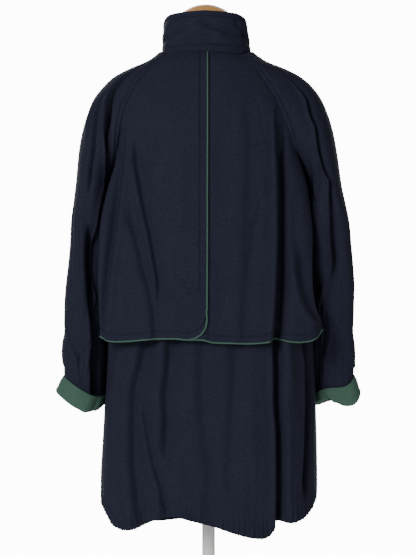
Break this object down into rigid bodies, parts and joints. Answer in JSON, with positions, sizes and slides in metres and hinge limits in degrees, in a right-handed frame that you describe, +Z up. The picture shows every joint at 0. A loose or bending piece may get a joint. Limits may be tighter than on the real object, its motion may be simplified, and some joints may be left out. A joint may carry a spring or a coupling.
{
  "type": "wool coat on a dress form",
  "caption": "Loose wool coat with raglan sleeves, split storm cape, stand collar and turned back cuffs, worn by a limbless dress form on a pole and round foot.",
  "frame": {"origin": "middle of the foot's underside, on the floor", "axes": "+Z up along the pole, +Y towards the buttoned front, -Y towards the back with the cape, +X the wearer's right arm"},
  "size_m": [0.5895, 0.35, 1.5104],
  "materials": {
    "navy_wool": "matte, short nap",
    "green_wool": "matte, short nap",
    "horn_button": "satin",
    "form_linen": "plain weave",
    "varnished_wood": "clear varnish",
    "white_powder_coat": "satin powder coat"
  },
  "bodies": {
    "root": {"back": "navy_wool", "button_1": "horn_button", "button_2": "horn_button", "button_3": "horn_button", "button_4": "horn_button", "button_5": "horn_button", "button_6": "horn_button", "cape_left": "navy_wool", "cape_right": "navy_wool", "collar": "navy_wool", "collar_band": "navy_wool", "cuff_left": "green_wool", "cuff_right": "green_wool", "form_base": "white_powder_coat", "form_cap": "varnished_wood", "form_neck": "form_linen", "form_pole": "white_powder_coat", "form_torso": "form_linen", "front_left": "navy_wool", "front_right": "navy_wool", "piping_left": "green_wool", "piping_right": "green_wool", "sleeve_left": "navy_wool", "sleeve_right": "navy_wool"}
  },
  "joints": []
}
